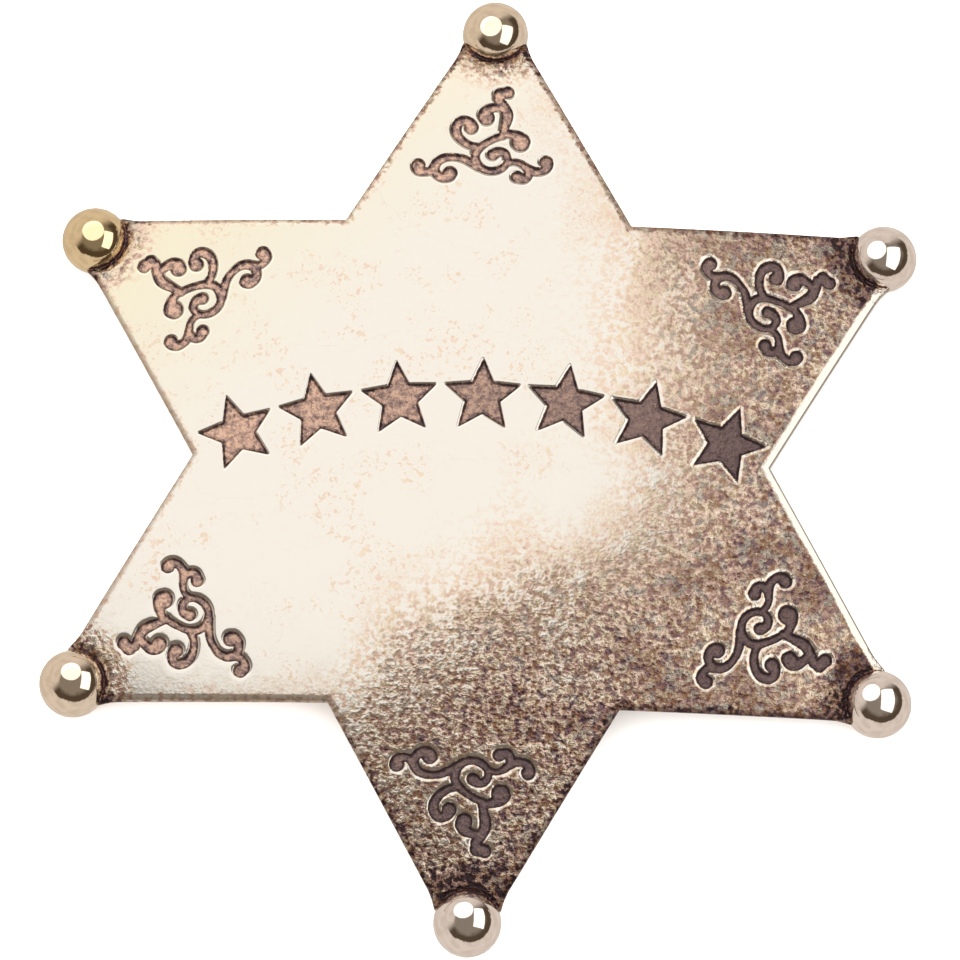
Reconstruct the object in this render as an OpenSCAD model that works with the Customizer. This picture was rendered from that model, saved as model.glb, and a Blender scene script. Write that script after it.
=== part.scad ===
// Six-pointed star badge: a domed, engraved star with a ball on each point, and a pin.
// Units are millimetres. The badge lies face up on its six balls: +Z is up, +Y points
// to the top point, and the origin is the star's centre on the surface that it lies on.

/* [Star] */
// Radius of the circle that the six ball centres lie on
ball_ring_r = 33; // [32:0.5:42]
// Diameter of each ball
ball_d = 4.8; // [4.4:0.2:6]
// How far past its ball's centre the two straight edges of a point would meet
tip_past_ball = 2.7; // [2:0.1:3]
// Thickness of the plate
plate_t = 1.2; // [0.9:0.1:1.8]
// Radius of the domed face
dome_r = 180; // [150:5:200]

/* [Engraved scrolls] */
// Depth of all the engraving below the face
engrave_depth = 0.3; // [0.2:0.05:0.5]
// Side of the square grid that one scroll is drawn on
scroll_size = 9.8; // [8:0.2:11]
// Distance from a ball's centre in to the middle of its scroll
scroll_from_ball = 8.2; // [7.6:0.2:10]
// Width of a scroll's heads as a share of the stroke that they end
head_share = 1.05; // [1.02:0.01:1.2]

/* [Engraved row of stars] */
// Number of small stars in the arched row
row_count = 7; // [5:1:9]
// Gap between neighbouring stars of the row
row_gap = 0.5; // [0.3:0.1:1.2]
// Distance from the notches at the star's sides in to the row's ends
row_margin = 0.6; // [0.4:0.1:3]
// Radius of the arch that the row follows
row_arch_r = 54; // [40:1:90]
// Height of the arch's top above the star's centre
row_top_y = 4.5; // [2:0.5:7]
// Inner radius of a small star as a share of its outer radius
row_star_waist = 0.46; // [0.38:0.01:0.6]

/* [Pin] */
// Length of the bar on the back
bar_len = 32; // [26:1:34]
// Width of the bar
bar_w = 5; // [4:0.5:7]
// Thickness of the bar
bar_t = 0.8; // [0.6:0.1:1]
// Gap between the bar and the plate above it
seat_gap = 0.05; // [0.02:0.01:0.1]
// Diameter of the pin's stem
stem_d = 1; // [0.8:0.1:1.2]
// Room for cloth between the stem and the bar at the hinge
cloth_gap = 0.8; // [0.5:0.1:1]
// Length of the stem's sharpened end
stem_point = 3; // [2:0.5:5]
// How far the stem runs past the catch
stem_past_catch = 1.2; // [0.5:0.1:2]
// Length of the hinge along the bar
hinge_len = 2.6; // [2:0.2:4]
// Width of the hinge across the bar
hinge_w = 3.6; // [3:0.2:5]
// Length of the catch along the bar
catch_len = 2.2; // [1.6:0.2:3]
// Wall of the catch's hook
hook_wall = 0.5; // [0.4:0.1:0.7]
// Clearance round the stem inside the catch
catch_gap = 0.25; // [0.15:0.05:0.35]
// Distance from the bar's ends to the hinge and the catch
bar_end = 0.6; // [0.3:0.1:2]

/* [Hidden] */

// How round the curves are drawn
dome_sides = 240;
ball_sides = 96;
wire_sides = 32;
head_sides = 14;
// Straight pieces between two points of a stroke
curve_steps = 2;
// Cracks narrower than this between two strokes are filled
stroke_crack = 0.08;

points_n = 6;
point_step = 360 / points_n;
// Points, counted from the top one to the left, whose scroll is mirrored
mirrored_points = [1, 3, 4];
// How far each scroll was set off its place by hand: to the side and outwards, as shares
// of scroll_size, and its turn
scroll_offsets = [[0, 0, 0], [0.038, 0.041, -10.6], [-0.026, 0.036, 3.4], [0, 0, 0.5],
    [0.034, 0.015, -3.6], [-0.044, 0.020, 10.2]];

// Two triangles make the star: this is their corner radius, and the radius of its notches
corner_r = ball_ring_r + tip_past_ball;
notch_r = corner_r / sqrt(3);

// The balls touch the ground, and the plate's middle meets them at mid height
ball_z = ball_d / 2;
dome_z = ball_z + plate_t / 2 - sqrt(pow(dome_r, 2) - pow(ball_ring_r, 2));
dome_top = dome_z + dome_r;

// The row fills the star's waist, between the two side notches
row_angle = 2 * asin((notch_r - row_margin) / row_arch_r);
row_len = row_arch_r * row_angle * PI / 180;
small_star_w = (row_len + row_gap) / row_count - row_gap;
small_star_r = small_star_w / 2 / cos(18);
row_step = row_angle * (small_star_w + row_gap) / row_len;

// The pin hangs from the underside of the plate
seat_r = dome_r - plate_t - seat_gap;
hinge_x = -bar_len / 2 + bar_end + hinge_len / 2;
catch_x = bar_len / 2 - bar_end - catch_len / 2;
bar_under_z = dome_z + sqrt(pow(seat_r - bar_t, 2) - pow(hinge_x, 2));
stem_z = bar_under_z - cloth_gap - stem_d / 2;
hook_r = stem_d / 2 + catch_gap + hook_wall;
stem_end_x = catch_x + catch_len / 2 + stem_past_catch;

// One scroll, drawn with its ball upwards and its middle at [0, 0].
// Each stroke is a list of [x, y, width] that its line runs through, all as shares of
// scroll_size. A round head closes both its ends.
scroll_strokes = [
    // Bud at the top
    [[0.050, 0.325, 0.100], [0.082, 0.330, 0.096], [0.108, 0.337, 0.104]],
    // Stem down from the bud
    [[0.040, 0.282, 0.075], [0.075, 0.235, 0.082], [0.108, 0.171, 0.089], [0.109, 0.123, 0.089],
        [0.098, 0.066, 0.075], [0.089, 0.018, 0.068], [0.083, -0.015, 0.068]],
    // Small curl beside the stem
    [[0.075, 0.219, 0.068], [0.014, 0.213, 0.075], [-0.040, 0.187, 0.093], [-0.053, 0.151, 0.111],
        [-0.042, 0.127, 0.125]],
    // Leaf that turns down on the right
    [[0.097, 0.002, 0.068], [0.147, -0.003, 0.071], [0.195, -0.023, 0.096], [0.222, -0.061, 0.136],
        [0.217, -0.071, 0.143]],
    // Line from the stem round the open spiral
    [[0.083, -0.015, 0.060], [0.032, -0.036, 0.060], [-0.024, -0.069, 0.060], [-0.077, -0.111, 0.068],
        [-0.109, -0.155, 0.071], [-0.114, -0.203, 0.071], [-0.094, -0.254, 0.068],
        [-0.050, -0.293, 0.064], [0.005, -0.307, 0.064], [0.063, -0.294, 0.064], [0.108, -0.257, 0.060],
        [0.125, -0.209, 0.060], [0.105, -0.162, 0.068], [0.058, -0.147, 0.075], [0.015, -0.172, 0.096]],
    // Large curl on the left
    [[-0.103, -0.115, 0.068], [-0.154, -0.103, 0.064], [-0.209, -0.070, 0.068], [-0.251, -0.022, 0.075],
        [-0.264, 0.033, 0.082], [-0.244, 0.086, 0.082], [-0.201, 0.103, 0.075], [-0.164, 0.080, 0.089],
        [-0.152, 0.048, 0.114]],
    // Long arm to the left, and its side curl
    [[-0.083, -0.278, 0.068], [-0.146, -0.239, 0.068], [-0.208, -0.209, 0.064], [-0.281, -0.199, 0.060],
        [-0.346, -0.208, 0.068], [-0.395, -0.241, 0.075], [-0.416, -0.285, 0.082],
        [-0.451, -0.317, 0.068], [-0.498, -0.322, 0.071], [-0.531, -0.306, 0.089],
        [-0.534, -0.271, 0.111]],
    [[-0.415, -0.296, 0.075], [-0.392, -0.340, 0.075], [-0.351, -0.363, 0.082], [-0.308, -0.354, 0.096],
        [-0.298, -0.332, 0.118]],
    // Short arm to the right, and its side curl
    [[0.122, -0.237, 0.060], [0.169, -0.227, 0.053], [0.220, -0.238, 0.057], [0.268, -0.272, 0.068],
        [0.312, -0.298, 0.075], [0.359, -0.301, 0.068], [0.402, -0.284, 0.075], [0.419, -0.251, 0.089],
        [0.411, -0.224, 0.107]],
    [[0.276, -0.288, 0.068], [0.281, -0.335, 0.071], [0.253, -0.364, 0.075], [0.213, -0.353, 0.093],
        [0.202, -0.349, 0.100]],
];

// Item i of a list, or its nearest end
function item(list, i) = list[max(0, min(len(list) - 1, i))];

// Point at share u of the way from point i to the next, on a smooth curve through points p
function curve_at(p, i, u) =
    let (a = item(p, i - 1), b = item(p, i), c = item(p, i + 1), d = item(p, i + 2))
    (2 * b + (c - a) * u + (2 * a - 5 * b + 4 * c - d) * pow(u, 2)
        + (3 * b - a - 3 * c + d) * pow(u, 3)) / 2;

// The whole curve through points p
function curve(p) = [
    for (i = [0 : len(p) - 2], k = [0 : curve_steps - 1]) curve_at(p, i, k / curve_steps),
    item(p, len(p) - 1),
];

function place(p) = [p[0], p[1]];

// Unit vector to the left of a line at its point i
function left_of(line, i) =
    let (way = place(item(line, i + 1) - item(line, i - 1)))
    [-way[1], way[0]] / norm(way);

// One side of a stroke along a line; side is 1 on the left and -1 on the right
function stroke_side(line, side) = [
    for (i = [0 : len(line) - 1]) place(line[i]) + side * left_of(line, i) * line[i][2] / 2
];

function reversed(list) = [for (i = [len(list) - 1 : -1 : 0]) list[i]];

// Ball-shaped body round the centre of the dome, smaller than the face by the given depth.
// It is turned so that its poles lie away from the star.
module dome_body(depth) {
    translate([0, 0, dome_z]) rotate([90, 0, 0]) sphere(r = dome_r - depth, $fn = dome_sides);
}

module star_outline() {
    intersection() {
        union() {
            rotate(90) circle(r = corner_r, $fn = 3);
            rotate(-90) circle(r = corner_r, $fn = 3);
        }
        // Each point ends inside its ball
        circle(r = ball_ring_r, $fn = dome_sides);
    }
}

module stroke(points) {
    line = curve(points);
    polygon(concat(stroke_side(line, 1), reversed(stroke_side(line, -1))));
    for (end = [line[0], item(line, len(line) - 1)])
        translate(place(end)) circle(d = end[2] * head_share, $fn = head_sides);
}

// The strokes run together into one shape
module scroll() {
    offset(delta = -stroke_crack / 2) offset(delta = stroke_crack / 2)
        for (s = scroll_strokes)
            stroke(scroll_size * s);
}

module small_star() {
    polygon([for (i = [0 : 9])
        let (r = i % 2 == 0 ? small_star_r : small_star_r * row_star_waist)
        r * [sin(36 * i), cos(36 * i)]]);
}

module engraving_outline() {
    for (i = [0 : points_n - 1])
        rotate(point_step * i)
            translate([0, ball_ring_r - scroll_from_ball] + scroll_size * place(scroll_offsets[i]))
                rotate(scroll_offsets[i][2])
                    mirror([len(search(i, mirrored_points)), 0]) scroll();
    for (i = [0 : row_count - 1])
        translate([0, row_top_y - row_arch_r]) rotate(row_step * ((row_count - 1) / 2 - i))
            translate([0, row_arch_r]) small_star();
}

// The domed plate, its six balls and the engraving are one piece of metal
module star() {
    color("#cdb9a2") {
        difference() {
            intersection() {
                linear_extrude(dome_top + plate_t) star_outline();
                difference() {
                    dome_body(0);
                    dome_body(plate_t);
                }
            }
            difference() {
                linear_extrude(dome_top + plate_t) engraving_outline();
                dome_body(engrave_depth);
            }
        }
        for (i = [0 : points_n - 1])
            rotate(point_step * i) translate([0, ball_ring_r, ball_z])
                sphere(d = ball_d, $fn = ball_sides);
    }
}

// A round bar along X, from x0 to x1 at the stem's height
module along_stem(x0, x1, r, end_r) {
    translate([x0, 0, stem_z]) rotate([0, 90, 0])
        cylinder(h = x1 - x0, r1 = r, r2 = end_r, $fn = wire_sides);
}

// A block that reaches from the stem's height up through the bar
module post(x, len_x, width) {
    translate([x - len_x / 2, -width / 2, stem_z]) cube([len_x, width, dome_top - stem_z]);
}

// Bar that follows the underside of the plate
module bar() {
    difference() {
        translate([-bar_len / 2, -bar_w / 2, 0]) cube([bar_len, bar_w, dome_top]);
        dome_body(plate_t + seat_gap + bar_t);
    }
}

// Knuckle across the bar that holds the stem
module hinge() {
    post(hinge_x, hinge_len, hinge_w);
    translate([hinge_x, hinge_w / 2, stem_z]) rotate([90, 0, 0])
        cylinder(h = hinge_w, r = hinge_len / 2, $fn = wire_sides);
}

// Hook that the stem's free end lies in, open at one side
module catch_hook() {
    difference() {
        union() {
            post(catch_x, catch_len, hook_r);
            along_stem(catch_x - catch_len / 2, catch_x + catch_len / 2, hook_r, hook_r);
        }
        along_stem(catch_x - catch_len, catch_x + catch_len, hook_r - hook_wall, hook_r - hook_wall);
        translate([catch_x - catch_len, -2 * hook_r, stem_z - stem_d / 2 - catch_gap])
            cube([2 * catch_len, 2 * hook_r, stem_d / 2 + catch_gap]);
    }
}

// Pin on the back, closed, as one plain piece
module pin_back() {
    color("#b8b4ac") {
        intersection() {
            dome_body(plate_t + seat_gap);
            union() {
                bar();
                hinge();
                catch_hook();
            }
        }
        along_stem(hinge_x, stem_end_x - stem_point, stem_d / 2, stem_d / 2);
        along_stem(stem_end_x - stem_point, stem_end_x, stem_d / 2, stem_d / 10);
    }
}

star();
pin_back();
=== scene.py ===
# Star badge lying face up: the looks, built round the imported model.
import math

import bpy
import numpy as np
from mathutils import Matrix, Vector
from mathutils.geometry import delaunay_2d_cdt


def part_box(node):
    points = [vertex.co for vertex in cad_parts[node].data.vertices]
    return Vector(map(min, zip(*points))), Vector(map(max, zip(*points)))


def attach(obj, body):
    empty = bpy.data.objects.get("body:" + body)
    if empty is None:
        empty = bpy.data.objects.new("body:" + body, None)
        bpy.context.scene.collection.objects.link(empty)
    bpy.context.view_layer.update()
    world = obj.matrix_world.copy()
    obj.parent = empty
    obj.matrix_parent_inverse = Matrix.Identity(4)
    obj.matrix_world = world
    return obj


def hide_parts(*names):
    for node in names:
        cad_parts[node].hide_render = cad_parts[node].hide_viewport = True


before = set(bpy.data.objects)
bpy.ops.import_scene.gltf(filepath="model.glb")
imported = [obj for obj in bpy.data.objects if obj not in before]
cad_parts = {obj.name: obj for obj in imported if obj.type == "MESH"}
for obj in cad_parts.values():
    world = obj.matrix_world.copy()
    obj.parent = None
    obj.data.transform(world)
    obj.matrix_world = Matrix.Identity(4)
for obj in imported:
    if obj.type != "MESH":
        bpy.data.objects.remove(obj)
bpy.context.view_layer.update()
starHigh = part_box("star")[1]
mm = 0.001
farAway = 1.0  # no cut near

star = {
    "points": 6,
    "ballRadius": 2.4 * mm,
    "ballRoundness": 5,  # subdivisions of each ball
    "tipPastBall": 2.7 * mm,  # a point's edges would meet this far past its ball's centre
    "thickness": 1.2 * mm,
    "domeRadius": 180 * mm,
    "sharpAngle": 38,  # degrees from which an edge isn't smoothed
}
ballRing = starHigh.y - star["ballRadius"]
cornerRadius = ballRing + star["tipPastBall"]
notchRadius = cornerRadius / math.sqrt(3)
halfAngle = math.radians(180 / star["points"])
domeCentre = (star["ballRadius"] + star["thickness"] / 2
              - math.sqrt(star["domeRadius"] ** 2 - ballRing ** 2))
domeTop = domeCentre + star["domeRadius"]


def domeHeight(xy, depth=0.0):
    return domeCentre + np.sqrt((star["domeRadius"] - depth) ** 2 - (xy ** 2).sum(1))


# Nodes: a wire is an output socket that can be calculated with, and a maker adds the nodes
class Wire:
    def __init__(self, maker, socket):
        self.maker = maker
        self.socket = socket

    def maths(self, operation, *values, clamped=False):
        return self.maker.node("ShaderNodeMath", dict(enumerate(values)), operation=operation,
                               use_clamp=clamped)

    def __add__(self, other):
        return self.maths("ADD", self, other)

    def __sub__(self, other):
        return self.maths("SUBTRACT", self, other)

    def __rsub__(self, other):
        return self.maths("SUBTRACT", other, self)

    def __mul__(self, other):
        return self.maths("MULTIPLY", self, other)

    def __rtruediv__(self, other):
        return self.maths("DIVIDE", other, self)

    __radd__, __rmul__ = __add__, __mul__

    def clamp(self):
        return self.maths("ADD", self, 0.0, clamped=True)

    def step(self, low, high):
        return self.maker.node("ShaderNodeMapRange", {"Value": self, "From Min": low, "From Max": high},
                               interpolation_type="SMOOTHSTEP")


class Maker:
    def __init__(self, tree):
        self.tree = tree
        tree.nodes.clear()

    def node(self, kind, values=None, output=0, **settings):
        node = self.tree.nodes.new(kind)
        for name, setting in settings.items():
            setattr(node, name, setting)
        for name, value in (values or {}).items():
            self.feed(node.inputs[name], value)
        return Wire(self, node.outputs[output]) if node.outputs else node

    def feed(self, socket, value):
        if isinstance(value, Wire):
            self.tree.links.new(value.socket, socket)
        else:
            socket.default_value = value

    def mixColours(self, share, first, second, blend="MIX"):
        values = {place: (*value, 1.0) if isinstance(value, tuple) else value
                  for place, value in ((0, share), (6, first), (7, second))}
        return self.node("ShaderNodeMix", values, 2, data_type="RGBA", blend_type=blend)

    def join(self, values):
        return self.node("ShaderNodeCombineXYZ", values)

    def split(self, vector):
        node = self.node("ShaderNodeSeparateXYZ", {0: vector}).socket.node
        return [Wire(self, socket) for socket in node.outputs]

    def stored(self, name):
        return self.node("GeometryNodeInputNamedAttribute", {"Name": name}, data_type="FLOAT")


# Geometry Nodes: a tree with named inputs, run on an object and baked to a plain mesh
def newGeometryTree(name, inputs):
    tree = bpy.data.node_groups.new(name, "GeometryNodeTree")
    maker = Maker(tree)
    for side in ("INPUT", "OUTPUT"):
        tree.interface.new_socket("Geometry", in_out=side, socket_type="NodeSocketGeometry")
    for inputName, kind in inputs.items():
        tree.interface.new_socket(inputName, in_out="INPUT", socket_type="NodeSocket" + kind)
    entry = tree.nodes.new("NodeGroupInput")
    wires = {socket.name: Wire(maker, socket) for socket in entry.outputs if socket.name}
    return tree, maker, wires


def endTree(maker, geometry, material):
    realized = maker.node("GeometryNodeRealizeInstances", {"Geometry": geometry})
    finished = maker.node("GeometryNodeSetMaterial", {"Geometry": realized, "Material": material})
    maker.node("NodeGroupOutput", {"Geometry": finished})


def addObject(name, data):
    placed = bpy.data.objects.new(name, data)
    bpy.context.collection.objects.link(placed)
    return placed


def bakeTree(data, tree, values, name):
    carrier = addObject(name, data)
    modifier = carrier.modifiers.new("nodes", "NODES")
    modifier.node_group = tree
    for item in tree.interface.items_tree:
        if item.in_out == "INPUT" and item.name in values:
            modifier[item.identifier] = values[item.name]
    depsgraph = bpy.context.evaluated_depsgraph_get()
    baked = bpy.data.meshes.new_from_object(carrier.evaluated_get(depsgraph), depsgraph=depsgraph,
                                            preserve_all_data_layers=True)
    carrier.modifiers.remove(modifier)
    bpy.data.objects.remove(carrier)
    baked.name = name
    return baked


def readPoints(mesh):
    flat = np.empty(len(mesh.vertices) * 3)
    mesh.vertices.foreach_get("co", flat)
    return flat.reshape(-1, 3)


def readAttribute(mesh, name):
    flat = np.empty(len(mesh.vertices), dtype=np.float32)
    mesh.attributes[name].data.foreach_get("value", flat)
    return flat


def writeAttribute(mesh, name, values):
    layer = mesh.attributes.new(name, "FLOAT", "POINT")
    layer.data.foreach_set("value", np.asarray(values, dtype=np.float32))


# Engraved scroll: ball upwards, middle at the origin, as shares of its size. Each point of a
# stroke's line has its place and the stroke's width there.
scroll = {
    "size": 9.8 * mm,
    "fromBall": 8.2 * mm,
    "mirrored": (1, 3, 4),  # counted from the top point to the left
    # how far each was set off its place by hand: to the side, outwards, and its turn in degrees
    "offsets": ((0, 0, 0), (0.038, 0.041, -10.6), (-0.026, 0.036, 3.4), (0, 0, 0.5),
                (0.034, 0.015, -3.6), (-0.044, 0.02, 10.2)),
    "step": 0.12 * mm,  # between the points of a stroke's line
    "strokes": {  # in thousandths
        "bud": ((50, 325, 100), (82, 330, 96), (108, 337, 104)),
        "stem": ((40, 282, 75), (75, 235, 82), (108, 171, 89), (109, 123, 89), (98, 66, 75),
            (89, 18, 68), (83, -15, 68)),
        "smallCurl": ((75, 219, 68), (14, 213, 75), (-40, 187, 93), (-53, 151, 111), (-42, 127, 125)),
        "leaf": ((97, 2, 68), (147, -3, 71), (195, -23, 96), (222, -61, 136), (217, -71, 143)),
        "spiral": ((83, -15, 60), (32, -36, 60), (-24, -69, 60), (-77, -111, 68), (-109, -155, 71),
            (-114, -203, 71), (-94, -254, 68), (-50, -293, 64), (5, -307, 64), (63, -294, 64),
            (108, -257, 60), (125, -209, 60), (105, -162, 68), (58, -147, 75), (15, -172, 96)),
        "largeCurl": ((-103, -115, 68), (-154, -103, 64), (-209, -70, 68), (-251, -22, 75),
            (-264, 33, 82), (-244, 86, 82), (-201, 103, 75), (-164, 80, 89), (-152, 48, 114)),
        "leftArm": ((-83, -278, 68), (-146, -239, 68), (-208, -209, 64), (-281, -199, 60),
            (-346, -208, 68), (-395, -241, 75), (-416, -285, 82), (-451, -317, 68),
            (-498, -322, 71), (-531, -306, 89), (-534, -271, 111)),
        "leftCurl": ((-415, -296, 75), (-392, -340, 75), (-351, -363, 82), (-308, -354, 96),
            (-298, -332, 118)),
        "rightArm": ((122, -237, 60), (169, -227, 53), (220, -238, 57), (268, -272, 68),
            (312, -298, 75), (359, -301, 68), (402, -284, 75), (419, -251, 89),
            (411, -224, 107)),
        "rightCurl": ((276, -288, 68), (281, -335, 71), (253, -364, 75), (213, -353, 93),
            (202, -349, 100)),
    },
}

smallStars = {
    "count": 7,
    "tips": 5,
    "gap": 0.5 * mm,
    "margin": 0.6 * mm,  # from the side notches in to the row's ends
    "archRadius": 54 * mm,
    "archTop": 4.5 * mm,
    "waist": 0.46,  # the inner corners' radius, as a share of the tips'
    "cornerRound": 0.06 * mm,
}

# Cross-section of the engraving, across a cut's edge: negative distances lie inside the cut
engraving = {
    "depth": 0.3 * mm,
    "wall": 0.13 * mm,  # width of the sloping wall
    "wallCurve": 1.4,  # it steepens downwards: 1 would be a straight slope
    "lip": 0.28 * mm,  # the face rolls over into the cut from this far outside its edge
    "lipRise": 0.004 * mm,
    "lipDrop": 0.05 * mm,
    "crown": 0.07 * mm,  # how far the floor rises again in the middle
    "crownAt": 0.34 * mm,
    "fieldStep": 0.07 * mm,
    "fieldMargin": 0.5 * mm,
    "fieldReach": 1.42,  # to a field's corners, in half sides
    "lipRings": (1, 0.7, 0.5, 0.3, 0.12, 0),  # rings of points along each cut, in widths of the lip
    "wallRings": (0.3, 0.7, 1, 1.35),  # and inside it, in widths of the wall
    "ringStep": 0.12 * mm,
    "fewestPoints": 8,  # loops with fewer are left out
}


def ringLevels():
    return ([share * engraving["lip"] for share in engraving["lipRings"]]
            + [-share * engraving["wall"] for share in engraving["wallRings"]])


def engravedDrop(distance):
    outside = np.clip(1 - distance / engraving["lip"], 0, 1)
    roll = engraving["lipDrop"] * outside ** 2
    roll -= engraving["lipRise"] * 6.75 * outside ** 2 * (1 - outside)  # 6.75 brings its top to 1
    wallShare = np.clip(-distance / engraving["wall"], 0, 1)
    wall = (engraving["depth"] - engraving["lipDrop"]) * wallShare ** engraving["wallCurve"]
    floorWidth = engraving["crownAt"] - engraving["wall"]
    floorShare = np.clip((-distance - engraving["wall"]) / floorWidth, 0, 1)
    crown = engraving["crown"] * floorShare ** 2 * (3 - 2 * floorShare)
    return roll + wall - crown


def strokeTracks():
    curve = bpy.data.curves.new("scrollLines", "CURVE")
    curve.dimensions = "3D"
    for stroke in scroll["strokes"].values():
        spline = curve.splines.new("POLY")
        spline.points.add(len(stroke) - 1)
        for point, (x, y, width) in zip(spline.points, stroke):
            point.co = (x / 1000, y / 1000, 0, 1)
            point.radius = width / 1000 / 2
    tree, maker, wires = newGeometryTree("strokeTracks", {"Size": "Float", "Step": "Float"})
    smooth = maker.node("GeometryNodeCurveSplineType", {"Curve": wires["Geometry"]},
                        spline_type="CATMULL_ROM")
    scaled = maker.node("GeometryNodeTransform", {
        "Geometry": smooth, "Scale": maker.join({axis: wires["Size"] for axis in range(3)})})
    points = maker.node("GeometryNodeResampleCurve", {"Curve": scaled, "Length": wires["Step"]},
                        mode="LENGTH")
    halfWidth = maker.node("GeometryNodeInputRadius") * wires["Size"]
    stored = maker.node("GeometryNodeStoreNamedAttribute",
                        {"Geometry": points, "Name": "halfWidth", "Value": halfWidth},
                        data_type="FLOAT", domain="POINT")
    endTree(maker, maker.node("GeometryNodeCurveToMesh", {"Curve": stored}), None)
    mesh = bakeTree(curve, tree, {"Size": scroll["size"], "Step": scroll["step"]}, "scrollTracks")
    edges = np.array([edge.vertices[:] for edge in mesh.edges])
    places = readPoints(mesh)[:, :2]
    widths = readAttribute(mesh, "halfWidth")
    bpy.data.meshes.remove(mesh)
    return places[edges[:, 0]], places[edges[:, 1]], widths[edges[:, 0]], widths[edges[:, 1]]


# A field is a grid of distances to an outline's edge, negative inside it
def makeField(low, high, distanceTo):
    step = engraving["fieldStep"]
    xs = np.arange(low[0], high[0] + step, step)
    ys = np.arange(low[1], high[1] + step, step)
    grid = np.stack(np.meshgrid(xs, ys, indexing="ij"), -1)
    values = distanceTo(grid.reshape(-1, 2)).reshape(len(xs), len(ys))
    return {"xs": xs, "ys": ys, "values": values}


def sampleField(field, xy):
    step = engraving["fieldStep"]
    column = np.clip((xy[:, 0] - field["xs"][0]) / step, 0, len(field["xs"]) - 1.001)
    row = np.clip((xy[:, 1] - field["ys"][0]) / step, 0, len(field["ys"]) - 1.001)
    i, j = column.astype(int), row.astype(int)
    u, v = column - i, row - j
    values = field["values"]
    return ((values[i, j] * (1 - u) + values[i + 1, j] * u) * (1 - v)
            + (values[i, j + 1] * (1 - u) + values[i + 1, j + 1] * u) * v)


# How far along the line from a to b each point lies, from 0 to 1, and how far away from it
def alongLine(xy, a, b):
    way = b - a
    along = np.clip((xy - a) @ way / (way @ way), 0, 1)
    return along, np.linalg.norm(xy - a - along[:, None] * way, axis=1)


def scrollField():
    starts, ends, startWidths, endWidths = strokeTracks()
    margin = engraving["lip"] + engraving["fieldMargin"]
    low = np.minimum(starts.min(0), ends.min(0)) - startWidths.max() - margin
    high = np.maximum(starts.max(0), ends.max(0)) + startWidths.max() + margin

    def distanceTo(xy):
        nearest = np.full(len(xy), farAway)
        for a, b, wa, wb in zip(starts, ends, startWidths, endWidths):
            along, apart = alongLine(xy, a, b)
            nearest = np.minimum(nearest, apart - (wa + (wb - wa) * along))
        return nearest

    return makeField(low, high, distanceTo)


def smallStarSizes():
    rowAngle = 2 * math.asin((notchRadius - smallStars["margin"]) / smallStars["archRadius"])
    rowLength = smallStars["archRadius"] * rowAngle
    width = (rowLength + smallStars["gap"]) / smallStars["count"] - smallStars["gap"]
    radius = width / 2 / math.cos(math.radians(90 / smallStars["tips"]))
    return radius, rowAngle * (width + smallStars["gap"]) / rowLength


def smallStarField():
    outer = smallStarSizes()[0]
    radii = [outer, outer * smallStars["waist"]] * smallStars["tips"]
    turns = [math.radians(180 / smallStars["tips"] * i) for i in range(len(radii))]
    corners = np.array([(r * math.sin(t), r * math.cos(t)) for r, t in zip(radii, turns)])
    reach = outer + engraving["lip"] + engraving["fieldMargin"]

    def distanceTo(xy):
        nearest = np.full(len(xy), farAway)
        inside = np.zeros(len(xy), dtype=bool)
        for a, b in zip(corners, np.roll(corners, -1, axis=0)):
            nearest = np.minimum(nearest, alongLine(xy, a, b)[1])
            way = b - a
            crosses = (a[1] > xy[:, 1]) != (b[1] > xy[:, 1])
            inside ^= crosses & (xy[:, 0] < a[0] + (xy[:, 1] - a[1]) / (way[1] or 1e-12) * way[0])
        return np.where(inside, -nearest, nearest) - smallStars["cornerRound"] * 0.5

    return makeField((-reach, -reach), (reach, reach), distanceTo)


# Closed lines at one level of a field, as lists of points
def contourLoops(field, level):
    values = field["values"] - level
    step = engraving["fieldStep"]
    origin = np.array([field["xs"][0], field["ys"][0]])
    links, places = {}, {}
    positive = values > 0
    mixed = positive[:-1, :-1].astype(int) + positive[1:, :-1] + positive[:-1, 1:] + positive[1:, 1:]
    for i, j in np.argwhere((mixed > 0) & (mixed < 4)):
        cut = []
        for si, sj, di, dj in ((i, j, 1, 0), (i + 1, j, 0, 1), (i, j + 1, 1, 0), (i, j, 0, 1)):
            if positive[si, sj] != positive[si + di, sj + dj]:
                a, b = values[si, sj], values[si + di, sj + dj]
                share = a / (a - b)
                places[si, sj, di] = origin + step * np.array([si + di * share, sj + dj * share])
                cut.append((si, sj, di))
        if len(cut) == 4 and positive[i, j] != (values[i:i + 2, j:j + 2].mean() > 0):
            cut = [cut[0], cut[3], cut[1], cut[2]]
        for first, second in zip(cut[::2], cut[1::2]):
            links.setdefault(first, []).append(second)
            links.setdefault(second, []).append(first)
    loops = []
    while links:
        start = next(iter(links))
        loop, here, before = [], start, None
        while here in links:
            loop.append(places[here])
            onward = [key for key in links.pop(here) if key != before and key in links]
            before = here
            if not onward:
                break
            here = onward[0]
        if len(loop) > engraving["fewestPoints"]:
            loops.append(np.array(loop))
    return loops


def evenLoop(loop, step):
    closed = np.vstack([loop, loop[:1]])
    lengths = np.r_[0, np.cumsum(np.linalg.norm(np.diff(closed, axis=0), axis=1))]
    count = max(engraving["fewestPoints"], int(round(lengths[-1] / step)))
    places = np.linspace(0, lengths[-1], count, endpoint=False)
    return np.c_[np.interp(places, lengths, closed[:, 0]), np.interp(places, lengths, closed[:, 1])]


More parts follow.
